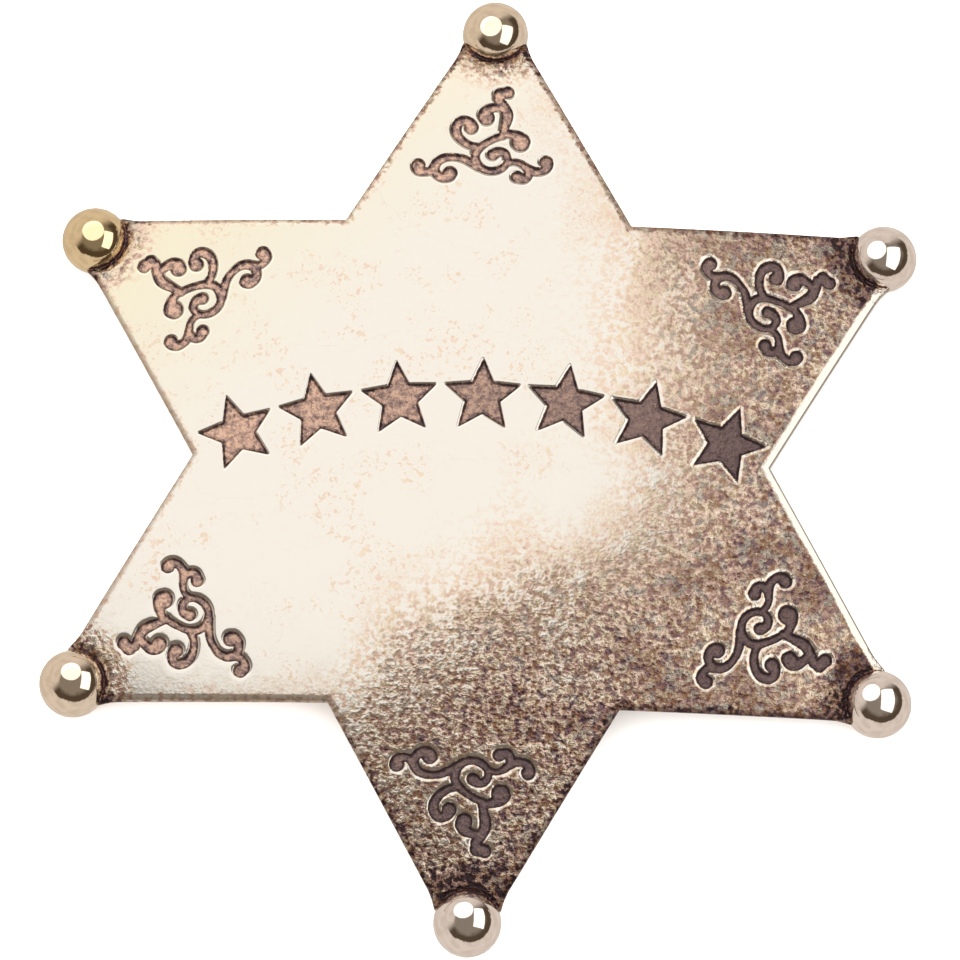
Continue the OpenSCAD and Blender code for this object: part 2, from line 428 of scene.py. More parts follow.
# Rings that follow an outline at each level of the cut, as loose edges with their level stored
def ringMesh(name, field):
    points, edges, levels = [], [], []
    for level in ringLevels():
        for loop in contourLoops(field, level):
            even = evenLoop(loop, engraving["ringStep"])
            first = len(points)
            count = len(even)
            points += [(x, y, 0) for x, y in even]
            edges += [(first + i, first + (i + 1) % count) for i in range(count)]
            levels += [level] * count
    mesh = bpy.data.meshes.new(name)
    mesh.from_pydata(points, edges, [])
    writeAttribute(mesh, "level", levels)
    return mesh


# A placement is where one copy of an outline goes: its middle, its turn, and -1 if it is mirrored
def scrollPlacements():
    reach = ballRing - scroll["fromBall"]
    places = []
    for i, (sideways, outwards, lean) in enumerate(scroll["offsets"]):
        turn = 2 * math.pi * i / star["points"]
        side = -1 if i in scroll["mirrored"] else 1
        out, along = reach + outwards * scroll["size"], sideways * scroll["size"]
        c, s = math.cos(turn), math.sin(turn)
        places.append(((along * c - out * s, along * s + out * c), turn + math.radians(lean), side))
    return places


def smallStarPlacements():
    step = smallStarSizes()[1]
    radius, top = smallStars["archRadius"], smallStars["archTop"]
    places = []
    for i in range(smallStars["count"]):
        turn = step * ((smallStars["count"] - 1) / 2 - i)
        places.append(((-radius * math.sin(turn), top - radius + radius * math.cos(turn)), turn, 1))
    return places


def makeOrnamentTree():
    tree, maker, wires = newGeometryTree("placeOrnament", {"Outline": "Object"})
    outline = maker.node("GeometryNodeObjectInfo", {"Object": wires["Outline"]}, "Geometry",
                         transform_space="ORIGINAL")
    copies = maker.node("GeometryNodeInstanceOnPoints", {
        "Points": wires["Geometry"], "Instance": outline,
        "Rotation": maker.join({"Z": maker.stored("turn")}),
        "Scale": maker.join({"X": maker.stored("side"), "Y": 1.0, "Z": 1.0})})
    endTree(maker, copies, None)
    return tree


def placeRings(tree, outline, placements, name):
    points = bpy.data.meshes.new(name + "Points")
    middles, turns, sides = zip(*placements)
    points.from_pydata([(*middle, 0) for middle in middles], [], [])
    writeAttribute(points, "turn", turns)
    writeAttribute(points, "side", sides)
    carrier = addObject(name, outline)
    mesh = bakeTree(points, tree, {"Outline": carrier}, name + "Rings")
    bpy.data.objects.remove(carrier)
    rings = (readPoints(mesh)[:, :2], np.array([edge.vertices[:] for edge in mesh.edges]),
             readAttribute(mesh, "level").astype(float))
    bpy.data.meshes.remove(mesh)
    return rings


def distanceToCuts(xy, ornaments):
    nearest = np.full(len(xy), farAway)
    for field, placements in ornaments:
        reach = max(np.abs(field["xs"]).max(), np.abs(field["ys"]).max()) * engraving["fieldReach"]
        for middle, turn, side in placements:
            offset = xy - np.array(middle)
            near = np.flatnonzero((offset ** 2).sum(1) < reach ** 2)
            c, s = math.cos(turn), math.sin(turn)
            local = offset[near] @ np.array([[c, -s], [s, c]])
            local[:, 0] *= side
            nearest[near] = np.minimum(nearest[near], sampleField(field, local))
    return nearest


# Plate: rings that run along the edges, a floor of loose points between, and the same below
plate = {
    "rollWidth": 0.5 * mm,  # the face rolls off softly this far in from its edge
    "rollDrop": 0.11 * mm,
    "edgeRound": 0.13 * mm,  # and then turns down with this radius
    "backRound": 0.8 * mm,  # the lower edge's radius
    "grooveWidth": 0.5 * mm,  # dip round the foot of each ball
    "grooveDepth": 0.16 * mm,
    "grooveStart": 0.96,  # in ball radii
    "grooveLip": (1.25, 0.35, 0.16),  # place and spread in widths of the groove, height in depths
    "neckLength": 1.3 * mm,  # the edge flares out a little into each ball
    "neckFlare": 0.24 * mm,
    "neckEnd": 1.2 * mm,  # and stops doing so this deep in the ball
    # rings of points, in widths of the edge's rounding, the roll and the lower rounding
    "edgeRings": (0, 0.05, 0.2, 0.4, 0.7, 1),
    "rollRings": (0.47, 0.63, 0.8, 0.93, 1.04),
    "backRings": (0, 0.04, 0.15, 0.35, 0.65, 1, 1.4),
    # steps between points
    "alongStep": 0.28 * mm,
    "faceStep": 0.44 * mm,
    "grooveStep": 0.16 * mm,
    "stippleStep": 0.1 * mm,
    "strokeStep": 0.2 * mm,
    "backStep": 1.3 * mm,
    "seeds": {"face": 3, "back": 4, "groove": 5, "stipple": 6, "stroke": 8},
    "jitter": 0.12,  # each point's shift, and the room at the arms' ends, in steps
    "endSpace": 0.3,
    # how far loose points keep from the rings, and how far the fine ones reach
    "lipSpace": 0.12 * mm,
    "rollSpace": 0.14 * mm,
    "grooveRollSpace": 0.08 * mm,
    "floorSpace": 0.05 * mm,
    "backSpace": 1.2 * mm,
    "grooveReach": 1.1 * mm,
    "underBall": 0.4 * mm,
    "stippleReach": 3 * mm,
    "mergeWithin": 1e-9,
}


def ballCentres():
    turns = [2 * math.pi * i / star["points"] for i in range(star["points"])]
    return np.array([(-ballRing * math.sin(t), ballRing * math.cos(t)) for t in turns])


def distanceToBalls(xy):
    return np.min([np.linalg.norm(xy - centre, axis=1) for centre in ballCentres()], axis=0)


# How far out towards the ball that is nearest in direction
def towardsBalls(xy):
    return np.max([xy @ (ball / ballRing) for ball in ballCentres()], axis=0)


# How far inside the star's outline: the outline is two triangles, one upside down
def insetFromEdge(xy):
    triangles = []
    for upright in (1, -1):
        turns = [math.radians(-90 * upright + 120 * k) for k in range(3)]
        sides = [xy @ np.array([math.cos(t), math.sin(t)]) for t in turns]
        triangles.append(cornerRadius / 2 - np.max(sides, axis=0))
    return np.max(triangles, axis=0)


def roundOver(inset, radius):
    inside = np.clip(radius - inset, 0, radius)
    return radius - np.sqrt(radius ** 2 - inside ** 2)


def edgeDrop(inset):
    soft = plate["rollDrop"] * np.clip(1 - inset / plate["rollWidth"], 0, 1) ** 2
    return soft + roundOver(inset, plate["edgeRound"])


def grooveDrop(xy):
    out = (distanceToBalls(xy) - star["ballRadius"] * plate["grooveStart"]) / plate["grooveWidth"]
    dip = np.clip(1 - out, 0, 1)
    place, spread, height = plate["grooveLip"]
    lip = np.exp(-((out - place) / spread) ** 2)
    return plate["grooveDepth"] * (dip ** 2 * (3 - 2 * dip) - height * lip)


# One line along a point's left edge, inset from it: from the notch to the end inside its ball
def armLine(inset, count):
    tip = cornerRadius - inset / math.sin(halfAngle)
    notch = notchRadius - inset / math.cos(halfAngle)
    start = np.array([-notch * math.sin(halfAngle), notch * math.cos(halfAngle)])
    end = np.array([-(tip - ballRing) * math.tan(halfAngle), ballRing])
    line = start + (end - start) * np.linspace(0, 1, count + 1)[:, None]
    gap = np.linalg.norm(line - np.array([0, ballRing]), axis=1) - star["ballRadius"]
    flare = plate["neckFlare"] * np.clip(1 - gap / plate["neckLength"], 0, 1) ** 2
    flare *= np.clip(1 - inset / plate["rollWidth"], 0, 1) * (gap > -plate["neckEnd"])
    return line + flare[:, None] * np.array([-math.cos(halfAngle), math.sin(halfAngle)])


def turnAbout(points, i):
    turn = 2 * math.pi * i / star["points"]
    c, s = math.cos(turn), math.sin(turn)
    return points @ np.array([[c, s], [-s, c]])


# The rings with their edges, each point's inset, and for each arm its outer left and right line
# and the points across its end
def edgeRings(insets):
    count = int(round(notchRadius / plate["alongStep"]))
    points, edges, depths, arms = [], [], [], []

    def addLine(line, inset):
        first = len(points)
        points.extend(line)
        depths.extend([inset] * len(line))
        edges.extend((first + k, first + k + 1) for k in range(len(line) - 1))
        return list(range(first, first + len(line)))

    for i in range(star["points"]):
        lefts, rights = [], []
        for inset in insets:
            line = armLine(inset, count)
            lefts.append(addLine(turnAbout(line, i), inset))
            rights.append(addLine(turnAbout((line * np.array([-1, 1]))[:0:-1], i), inset))
        across = [left[-1] for left in lefts] + [right[0] for right in reversed(rights)]
        edges.extend(zip(across[:-1], across[1:]))
        arms.append((lefts, rights, across))
    for i in range(star["points"]):
        for right, left in zip(arms[i][1], arms[i - 1][0]):
            edges.append((right[-1], left[0]))
    return np.array(points), edges, np.array(depths), arms


def loosePoints(step, seed, near=None):
    random = np.random.default_rng(seed)
    centre, reach = near or ((0, 0), cornerRadius)
    xs = np.arange(-reach, reach, step)
    ys = np.arange(-reach, reach, step * math.sqrt(3) / 2)
    grid = np.array([(x + (step / 2 if j % 2 else 0), y) for j, y in enumerate(ys) for x in xs])
    grid += random.uniform(-plate["jitter"], plate["jitter"], grid.shape) * step
    grid = grid[np.linalg.norm(grid, axis=1) < reach] + np.array(centre)
    return grid[(insetFromEdge(grid) > 0) & (towardsBalls(grid) < ballRing - plate["endSpace"] * step)]


# The triangles inside the outline, and which point each of theirs was
def triangulate(points, edges):
    insideOnly = 1
    result = delaunay_2d_cdt([Vector(p) for p in points], [tuple(map(int, e)) for e in edges], [],
                             insideOnly, plate["mergeWithin"])
    places = np.array([v[:] for v in result[0]])
    sources = np.array([origin[0] if origin else -1 for origin in result[3]])
    renumbered = {source: i for i, origin in enumerate(result[3]) for source in origin}
    return places, result[2], renumbered, sources


def facePoints(ornaments, rings, rimInsets):
    points, edges, depths, arms = edgeRings(rimInsets)
    levels = np.full(len(points), farAway)
    for outlinePoints, outlineEdges, outlineLevels in rings:
        edges = edges + [(a + len(points), b + len(points)) for a, b in outlineEdges]
        points = np.vstack([points, outlinePoints])
        levels = np.r_[levels, outlineLevels]
        depths = np.r_[depths, insetFromEdge(outlinePoints)]
    seeds = plate["seeds"]
    loose = loosePoints(plate["faceStep"], seeds["face"])
    gap = distanceToCuts(loose, ornaments)
    groove = star["ballRadius"] + plate["grooveReach"]
    clear = (gap > engraving["lip"] + plate["lipSpace"]) & (distanceToBalls(loose) > groove)
    clear &= insetFromEdge(loose) > plate["rollWidth"] + plate["rollSpace"]
    kept = [loose[clear]]
    grooveInset = plate["rollWidth"] + plate["grooveRollSpace"]
    for ball in ballCentres():
        ring = loosePoints(plate["grooveStep"], seeds["groove"], (ball, groove))
        out = np.linalg.norm(ring - ball, axis=1) - star["ballRadius"]
        kept.append(ring[(out > -plate["underBall"]) & (insetFromEdge(ring) > grooveInset)])
    floor = -engraving["wallRings"][-1] * engraving["wall"] - plate["floorSpace"]
    scrollCuts, starCuts = ornaments
    for place, turn, side in starCuts[1]:
        pips = loosePoints(plate["stippleStep"], seeds["stipple"], (place, plate["stippleReach"]))
        kept.append(pips[distanceToCuts(pips, [starCuts]) < floor])
    strokes = loosePoints(plate["strokeStep"], seeds["stroke"])
    kept.append(strokes[distanceToCuts(strokes, [scrollCuts]) < floor])
    loose = np.vstack(kept)
    levels = np.r_[levels, distanceToCuts(loose, ornaments)]
    depths = np.r_[depths, insetFromEdge(loose)]
    return np.vstack([points, loose]), edges, levels, depths, arms


# The outline as the mesh's points: each arm's left edge, then its right one up to the next notch
def outlineRows(arms, numbers):
    rows = []
    for i, (lefts, rights, across) in enumerate(arms):
        rows += [lefts[0], rights[0] + arms[i - 1][0][0][:1]]
    return [[numbers[k] for k in row] for row in rows]


def buildPlate(ornaments, rings):
    rimInsets = [share * plate["edgeRound"] for share in plate["edgeRings"]]
    rimInsets += [share * plate["rollWidth"] for share in plate["rollRings"]]
    points, edges, levels, depths, arms = facePoints(ornaments, rings, rimInsets)
    places, faces, numbers, sources = triangulate(points, edges)
    known = sources >= 0
    level = np.where(known, levels[sources], distanceToCuts(places, ornaments))
    inset = np.where(known, depths[sources], insetFromEdge(places))
    top = domeHeight(places) - edgeDrop(inset) - engravedDrop(level) - grooveDrop(places)

    backInsets = [share * plate["backRound"] for share in plate["backRings"]]
    backPoints, backEdges, backDepths, backArms = edgeRings(backInsets)
    backLoose = loosePoints(plate["backStep"], plate["seeds"]["back"])
    backLoose = backLoose[insetFromEdge(backLoose) > plate["backSpace"]]
    backPoints = np.vstack([backPoints, backLoose])
    backDepths = np.r_[backDepths, insetFromEdge(backLoose)]
    backPlaces, backFaces, backNumbers, backSources = triangulate(backPoints, backEdges)
    backRise = roundOver(backDepths[backSources], plate["backRound"])
    under = domeHeight(backPlaces, star["thickness"]) + backRise

    first = len(places)
    backNumbers = {source: first + k for source, k in backNumbers.items()}
    polygons = [tuple(f) for f in faces] + [tuple(first + k for k in reversed(f)) for f in backFaces]
    for arm, backArm in zip(arms, backArms):
        polygons.append((*(numbers[k] for k in arm[2]), *(backNumbers[k] for k in backArm[2][::-1])))
    for tops, backs in zip(outlineRows(arms, numbers), outlineRows(backArms, backNumbers)):
        for k in range(len(tops) - 1):
            polygons.append((tops[k], tops[k + 1], backs[k + 1], backs[k]))
    mesh = bpy.data.meshes.new("plate")
    mesh.from_pydata(np.vstack([np.c_[places, top], np.c_[backPlaces, under]]).tolist(), [], polygons)
    return mesh


# Balls: one for each point, set on a ring
def makeBalls(material):
    tree, maker, wires = newGeometryTree("ballsOnRing", {
        "Count": "Int", "Ring": "Float", "Radius": "Float", "Roundness": "Int", "Material": "Material"})
    ring = maker.node("GeometryNodeMeshCircle", {"Vertices": wires["Count"], "Radius": wires["Ring"]})
    placed = maker.node("GeometryNodeTransform", {
        "Geometry": ring, "Rotation": (0, 0, halfAngle),
        "Translation": maker.join({"Z": wires["Radius"]})})
    ball = maker.node("GeometryNodeMeshIcoSphere",
                      {"Radius": wires["Radius"], "Subdivisions": wires["Roundness"]})
    copies = maker.node("GeometryNodeInstanceOnPoints", {"Points": placed, "Instance": ball})
    endTree(maker, copies, wires["Material"])
    return bakeTree(bpy.data.meshes.new("ringStart"), tree, {
        "Count": star["points"], "Ring": ballRing, "Radius": star["ballRadius"],
        "Roundness": star["ballRoundness"], "Material": material}, "balls")


def joinSolids(mesh, other):
    carrier = addObject("joining", mesh)
    tool = addObject("joiningTool", other)
    modifier = carrier.modifiers.new("union", "BOOLEAN")
    modifier.operation = "UNION"
    modifier.solver = "MANIFOLD"
    modifier.object = tool
    depsgraph = bpy.context.evaluated_depsgraph_get()
    joined = bpy.data.meshes.new_from_object(carrier.evaluated_get(depsgraph), depsgraph=depsgraph)
    for used in (carrier, tool):
        bpy.data.objects.remove(used)
    return joined


wear = {
    "onBall": 0.004 * mm,  # a ball's points lie this near its sphere
    "besideWeight": 3,  # the crease fades this much faster past the plate's edge
    "stippleFrom": 1.2,  # in widths of the wall
    "waves": (0.4, 1.5, 1),  # in mm: none this near a cut, full that much further, none on the rim
    "dentFade": 0.5 * mm,
}


# What the patina, the painted shade and the painted highlights follow, in millimetres: cut is the
# distance to an engraved edge, negative inside, rim the distance to the plate's edge, and gap the
# distance to the crease between ball and plate
def markWearAndShade(mesh, ornaments):
    points = readPoints(mesh)
    xy = points[:, :2]
    inset = insetFromEdge(xy)
    centres = np.c_[ballCentres(), np.full(star["points"], star["ballRadius"])]
    toBall = np.min([np.linalg.norm(points - c, axis=1) for c in centres], axis=0) - star["ballRadius"]
    onBall = (np.abs(toBall) < wear["onBall"]).astype(float)
    middle = domeHeight(xy, star["thickness"] / 2)
    overPlate = np.clip(np.abs(points[:, 2] - middle) - star["thickness"] / 2, 0, None)
    beside = wear["besideWeight"] * np.clip(-inset, 0, None)
    outward = np.clip(towardsBalls(xy) - ballRing, 0, None)
    gap = np.where(onBall > 0, np.hypot(np.hypot(overPlate, beside), outward), toBall)
    onTop = (points[:, 2] > middle) & (onBall == 0)
    cut = np.where(onTop, distanceToCuts(xy, ornaments), farAway)
    inStar = onTop & (distanceToCuts(xy, [ornaments[1]]) < -wear["stippleFrom"] * engraving["wall"])
    offCut, fade, offRim = wear["waves"]
    clear = onTop * np.clip((cut / mm - offCut) / fade, 0, 1) * np.clip(inset / mm - offRim, 0, 1)
    values = {"cut": cut / mm, "rim": np.where(onTop, inset, 0) / mm, "gap": gap / mm, "ball": onBall,
              "face": onTop, "stipple": inStar, "clear": clear,
              "dent": onBall * np.clip(gap / wear["dentFade"], 0, 1)}
    for name, value in values.items():
        writeAttribute(mesh, name, value)


relief = {
    "PipSize": 0.3 * mm,  # stippled floor of the small stars
    "PipHeight": 0.11 * mm,
    "WaveSize": 7 * mm,  # slow unevenness of the struck face
    "WaveHeight": 0.035 * mm,
    "DentSize": 1.1 * mm,  # balls
    "DentDepth": 0.016 * mm,
}


def addRelief(mesh, material):
    inputs = {**dict.fromkeys(relief, "Float"), "Material": "Material"}
    tree, maker, wires = newGeometryTree("surfaceRelief", inputs)
    place = maker.node("GeometryNodeInputPosition")

    cell = maker.node("ShaderNodeTexVoronoi", {
        "Vector": place, "Scale": 1 / wires["PipSize"], "Randomness": 0.8},
        feature="F1", voronoi_dimensions="2D")
    pips = (1 - cell.step(0.15, 0.62)) * wires["PipHeight"] * maker.stored("stipple")
    waves, dents = (noiseWire(maker, place, wires[size], 1.0) - 0.5 for size in ("WaveSize", "DentSize"))
    lift = maker.join({"Z": pips + waves * wires["WaveHeight"] * maker.stored("clear")})
    raised = maker.node("GeometryNodeSetPosition", {"Geometry": wires["Geometry"], "Offset": lift})
    push = maker.node("ShaderNodeVectorMath", {
        0: maker.node("GeometryNodeInputNormal"),
        "Scale": dents * wires["DentDepth"] * maker.stored("dent")}, operation="SCALE")
    dented = maker.node("GeometryNodeSetPosition", {"Geometry": raised, "Offset": push})
    endTree(maker, dented, wires["Material"])
    return bakeTree(mesh, tree, {**relief, "Material": material}, "starBadge")


def newMaterial(name):
    material = bpy.data.materials.new(name)
    material.use_nodes = True
    return material, Maker(material.node_tree)


def endMaterial(maker, values, bump=None):
    if bump:
        values["Normal"] = maker.node("ShaderNodeBump", bump)
    shader = maker.node("ShaderNodeBsdfPrincipled", values)
    maker.node("ShaderNodeOutputMaterial", {"Surface": shader})


def millimetres(maker):
    place = maker.node("ShaderNodeTexCoord", output="Object")
    return maker.node("ShaderNodeVectorMath", {0: place, "Scale": 1 / mm}, operation="SCALE")


def distanceWire(maker, place, spot):
    return maker.node("ShaderNodeVectorMath", {0: place, 1: spot}, 1, operation="DISTANCE")


def noiseWire(maker, vector, size, detail=2.0, roughness=0.5, distortion=0.0, stretch=None):
    if stretch:
        vector = maker.node("ShaderNodeMapping", {"Vector": vector, "Scale": stretch})
    return maker.node("ShaderNodeTexNoise", {
        "Vector": vector, "Scale": 1 / size, "Detail": detail, "Roughness": roughness,
        "Distortion": distortion})


# Antique silver: sizes in millimetres, colours as light that is given back, and each film and
# speck in two hues
antiqueSilver = {
    "grain": 0.42,  # sizes of the noise
    "specks": 0.55,  # in grains
    "clouds": 5.0,
    "hues": 0.65,
    "greys": 0.9,
    "haze": 2.2,
    "pitDepth": 0.2 * mm,
    "polished": (0.7, 0.67, 0.616),
    "paleFilm": ((0.68, 0.56, 0.42), (0.67, 0.515, 0.415)),
    "midFilm": ((0.37, 0.265, 0.185), (0.375, 0.243, 0.2)),
    "greyFilm": (0.35, 0.315, 0.27),
    "speck": ((0.25, 0.12, 0.075), (0.165, 0.1, 0.12)),
    "oxide": (0.055, 0.036, 0.04),
    # levels over which speck, mid film, pale film and silver each take over
    "filmLevels": ((-0.04, 0.2), (0.14, 0.46), (0.42, 0.8), (0.74, 0.98)),
    # painted light and shade: the cut floors are paler at the lit upper left and darker at the shaded
    # lower right
    "cutLitShadedTones": ((0.35, 0.225, 0.165), (0.084, 0.054, 0.049)),  # floors, upper left and lower right
    "ballTone": (0.94, 0.87, 0.81),
    "plateWarmth": (1.0, 0.97, 0.78),  # tints towards the upper left
    "ballWarmth": (0.97, 0.85, 0.56),
    "brightestPlace": (-11.5, 6.0),  # most worn place on the face, and middle of the painted light: patina and painted shade grow away from it
    "patinaAndShadeReach": (14.0, 34.0),  # patina and painted shade set in and are full this far from it
    "unevenHeight": 5.0,  # of the places below
    "uneven": [  # where there is more or less patina and painted shade: place, reach, change
        ((9.5, -3.5), (2.0, 8.5), -0.32),
        ((-2.0, -16.0), (2.0, 9.0), 0.16),
        ((-14.0, -15.0), (3.0, 9.0), -0.2),
        ((16.0, 13.5), (2.0, 8.0), 0.14),
        ((25.0, -14.0), (2.0, 8.0), -0.14),
        ((-25.0, -15.0), (1.5, 7.0), -0.22),
        ((-1.0, -25.0), (2.0, 9.0), -0.1),
    ],
}


def makeAntiqueSilver():
    tones = antiqueSilver
    material, maker = newMaterial("antiqueSilver")
    place = millimetres(maker)
    x, y = maker.split(place)[:2]
    cut, rim, gap, ball, face = (maker.node("ShaderNodeAttribute", output="Fac", attribute_name=name)
                                 for name in ("cut", "rim", "gap", "ball", "face"))

    grain = noiseWire(maker, place, tones["grain"], 3.0, 0.55, 0.25)
    streaks = noiseWire(maker, place, tones["grain"], 2.0, 0.6, 0.3, (0.25, 1.0, 1.0))
    specks = noiseWire(maker, place, tones["grain"] * tones["specks"], 2.0, 0.5, 0.3)
    clouds = noiseWire(maker, place, tones["clouds"], 3.0, 0.65)
    ragged = (grain - 0.5) * 0.9 + (clouds - 0.5) * 0.6

    # how much patina and painted shade there is: little at the worn, lit upper left, more towards the
    # shaded lower right, much by the balls, and broken bands of it along the rim, apart from the two
    # right-hand sides, worn and painted bright there as a highlight
    cx, cy = tones["brightestPlace"]
    fromBrightest = distanceWire(maker, place, (cx, cy, 0.0))
    away = (fromBrightest * 0.7 + (x - cx) * 0.25 - (y - cy) * 0.22).step(*tones["patinaAndShadeReach"])
    for spot, reach, change in tones["uneven"]:
        fromSpot = distanceWire(maker, place, (*spot, tones["unevenHeight"]))
        away = away + (1 - fromSpot.step(*reach)) * change
    away = away.clamp()
    byBall = 1 - gap.step(0.4, 3.0)
    # the right-hand rims: worn, and painted bright there as a highlight
    rubbedAndSheen = x.step(10.0, 16.0) * (1 - (y * y).step(190.0, 250.0))
    rubbedAndSheen = rubbedAndSheen * (1 - (rim + ragged * 0.4).step(0.42, 0.68)) * face
    byRim = (1 - (rim + ragged * 0.9).step(0.2, 0.6)) * (0.16 + y.step(8.0, 26.0) * 0.2 + away * 0.04)
    marks = (grain + specks * 0.4).step(0.71, 0.86) * clouds.step(0.44, 0.6) * (1 - away)
    amount = 0.02 + away * 0.69 + (clouds - 0.5) * (0.1 + away * 0.8) + byBall * 0.46 + byRim
    wall = 1 - rim.step(0.0, 0.07)
    amount = (amount + wall * 0.12 - rubbedAndSheen * 0.9).clamp()
    blots = grain.step(0.43, 0.57)
    glints = specks.step(0.58, 0.66)
    spots = 1 - specks.step(0.34, 0.42)
    mottle = (grain - 0.5) * 1.6 + (blots - 0.5) * 0.5 + (glints - spots) * 0.35 + (streaks - 0.5) * 0.7
    calm = x.step(2.0, 16.0) * 0.6 + clouds.step(0.4, 0.6) * 0.4
    mottle = mottle * (1.1 - calm * 0.66)

    # brightness of the metal, from oxide at 0 to polished at 1
    level = 1.0 - amount * 0.82 + mottle * (0.04 + amount * (1.7 - amount * 1.0)) - marks * 0.24
    # the lips of the cuts are painted bright: a painted highlight along with worn metal
    lip = cut.step(-0.02, 0.02) * (1 - (cut + ragged * 0.05).step(0.16, 0.27))
    level = level + (1.05 - level) * lip * (0.6 + blots * 0.25) + rubbedAndSheen * 0.5
    # upper left, the lit side: it paints the cut floors lighter there, and warms the silver's tint
    warm = 1 - (x * 0.7 - y * 0.7).step(-34.0, -12.0)
    inside = 1 - cut.step(-0.05, 0.01)
    # foot of the cut's wall, darkened as oxide and as painted shade
    foot = 1 - (-1 * cut).step(0.11, 0.22)
    # cut floors: painted shade towards the lower right and painted light at the upper left, over the
    # oxide
    cutLevel = 0.55 - away * 0.34 + warm * (0.1 + foot * 0.25) - foot * 0.46 + mottle * 0.42
    level = level * (1 - inside) + cutLevel * inside
    # painted shade with oxide in the crease between each ball and the plate, on both sides of it
    crease = (1 - (gap + ragged * 0.3).step(0.06, 0.44)) * rim.step(0.05, 0.8) * (1 - ball)
    crease = crease + (1 - gap.step(0.0, 0.1)) * ball
    level = level * (1 - ball) + ball
    level = level - crease * 0.8

    hue = noiseWire(maker, place, tones["hues"], 2.0, 0.6).step(0.42, 0.56)
    tint = noiseWire(maker, place, tones["greys"], 1.0, 0.5, 0.0, (1.3, 1.0, 1.0)).step(0.5, 0.62)
    paleFilm = maker.mixColours(hue, *tones["paleFilm"])
    midFilm = maker.mixColours(tint, maker.mixColours(hue, *tones["midFilm"]), tones["greyFilm"])
    speck = maker.mixColours(hue, *tones["speck"])
    silver = maker.mixColours(ball, tones["polished"], tones["ballTone"])
    ballWarm = 1 - (x * 0.8 - y * 0.5).step(-33.0, 0.0)
    warmth = maker.mixColours(ball, tones["plateWarmth"], tones["ballWarmth"])
    warm = warm * (1 - ball) + ballWarm * ball
    silver = maker.mixColours(warm, silver, maker.mixColours(1.0, silver, warmth, "MULTIPLY"))
    colour = tones["oxide"]
    for reach, film in zip(tones["filmLevels"], (speck, midFilm, paleFilm, silver)):
        colour = maker.mixColours(level.step(*reach), colour, film)
    # painted light and shade across the cut floors, pale at the upper left and dark at the lower right
    cutLitShadedTone = maker.mixColours((x * 0.7 - y * 0.5).step(-16.0, 14.0), *tones["cutLitShadedTones"])
    # painted shade with oxide: the floors darken towards their walls
    nearWall = 1 - (-1 * cut).step(0.12, 0.5)
    shade = (0.76 - nearWall * 0.24 - foot * 0.3 + mottle * 0.8).clamp()
    cutLitShadedTone = maker.mixColours(shade, tones["oxide"], cutLitShadedTone)
    colour = maker.mixColours(inside, colour, cutLitShadedTone)

    haze = noiseWire(maker, place, tones["haze"], 2.0)
    dull = (1 - level).clamp()
    roughness = 0.16 + dull * 0.18 + (haze - 0.5) * 0.05 - lip * 0.04 + inside * 0.12
    roughness = roughness + (1 - rim.step(0.2, 0.5)) * (1 - rubbedAndSheen) * 0.26
    roughness = roughness * (1 - ball) + ball * (0.07 + dull * 0.35 + (haze - 0.5) * 0.04)

    # pitted where the patina sits, nearly smooth where it is worn off
    pits = (grain - 0.5) * 1.3 + (specks - 0.5) * 1.1 + (streaks - 0.5) * 0.3
    rough = (0.015 + amount * amount * 1.15 + inside * 0.5) * (1 - lip * 0.8)
    height = pits * rough * (1 - ball) + (haze - 0.5) * ball * 0.012
    metallic = 1 - inside * (0.55 - foot * 0.25)  # residue dulls the floors of the cuts
    endMaterial(maker, {"Base Color": colour, "Metallic": metallic, "Roughness": roughness},
                {"Height": height, "Distance": tones["pitDepth"], "Strength": 1.0})
    return material


pinNickel = {
    "metal": (0.62, 0.6, 0.56),
    "dulled": (0.4, 0.37, 0.33),
    "drawn": 0.18,  # sizes of the noise in millimetres
    "stain": 2.6,
    "pits": 0.22,
    "pitDepth": 0.02 * mm,
}


def makePinNickel():
    material, maker = newMaterial("pinNickel")
    place = millimetres(maker)
    drawn = noiseWire(maker, place, pinNickel["drawn"], 3.0, 0.6, 0.0, (0.05, 1.0, 1.0))
    stain = noiseWire(maker, place, pinNickel["stain"], 3.0, 0.6)
    pits = noiseWire(maker, place, pinNickel["pits"], 2.0)
    dull = ((stain - 0.5) * 2.2 + 0.35 + (pits - 0.5) * 0.8).clamp()
    colour = maker.mixColours(dull, pinNickel["metal"], pinNickel["dulled"])
    height = (drawn - 0.5) * 0.6 - pits * 0.15
    roughness = 0.26 + dull * 0.2 + (drawn - 0.5) * 0.1
    endMaterial(maker, {"Base Color": colour, "Metallic": 1.0, "Roughness": roughness},
                {"Height": height, "Distance": pinNickel["pitDepth"], "Strength": 0.8})
    return material


# Studio: camera, floor, lights and surroundings
studio = {
    "turns": {"X": -15.31, "Y": -1.1, "Z": -1.76},  # the camera's, in degrees
    "distance": 406.8 * mm,
    "lens": 214.6,
    "sensor": 36,
    "pictureSize": 960,
    "middlePixel": (480.7, 456.4),
    "clipStart": 0.01,
    "floorReach": 1.5,
    "floorTone": (0.9, 0.89, 0.875),
    "skyBack": ((0.74, 0.66, 0.6), (0.63, 0.55, 0.49)),
    "skyRing": (0.085, 0.06, 0.042),
    "skyTop": (0.25, 0.215, 0.18),
}


